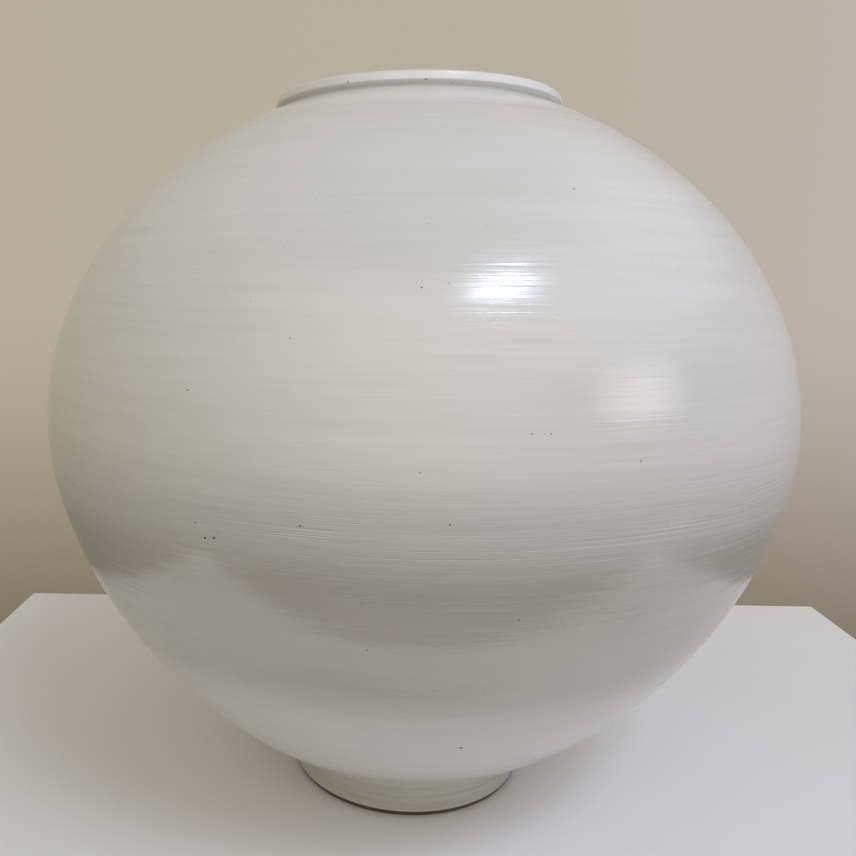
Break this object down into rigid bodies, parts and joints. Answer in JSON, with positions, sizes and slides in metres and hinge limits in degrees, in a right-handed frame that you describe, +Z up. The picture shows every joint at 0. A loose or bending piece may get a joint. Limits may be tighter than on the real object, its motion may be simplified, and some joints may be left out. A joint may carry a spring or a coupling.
{
  "type": "moon jar",
  "caption": "Large round white jar with an open mouth, a short turned-out lip and a small foot ring, thrown as bowls and joined at the belly.",
  "frame": {"origin": "centre of the foot, on the face that the jar stands on", "axes": "+Z up through the mouth, along the axis that the jar is round about; +Y away from the viewer of the picture"},
  "size_m": [0.4399, 0.44, 0.424],
  "materials": {
    "clay": "bare fired clay, dark brown, matt",
    "joining_slip": "fired slip of the same clay, matt",
    "white_slip": "white slip with brush marks, matt",
    "white_glaze": "clear gloss glaze over brushed white slip, with fine streaks and small dark specks",
    "inner_glaze": "gloss glaze, slightly grey-green"
  },
  "bodies": {
    "root": {"foot_ring": "clay", "lower_bowl": "clay", "upper_bowl": "clay", "mouth_collar": "clay", "seam_coil": "clay", "waist_slip": "joining_slip", "collar_slip": "joining_slip", "foot_slip": "joining_slip", "white_slip_coat": "white_slip", "outer_glaze": "white_glaze", "inner_glaze": "inner_glaze", "foot_well_glaze": "inner_glaze"}
  },
  "joints": []
}
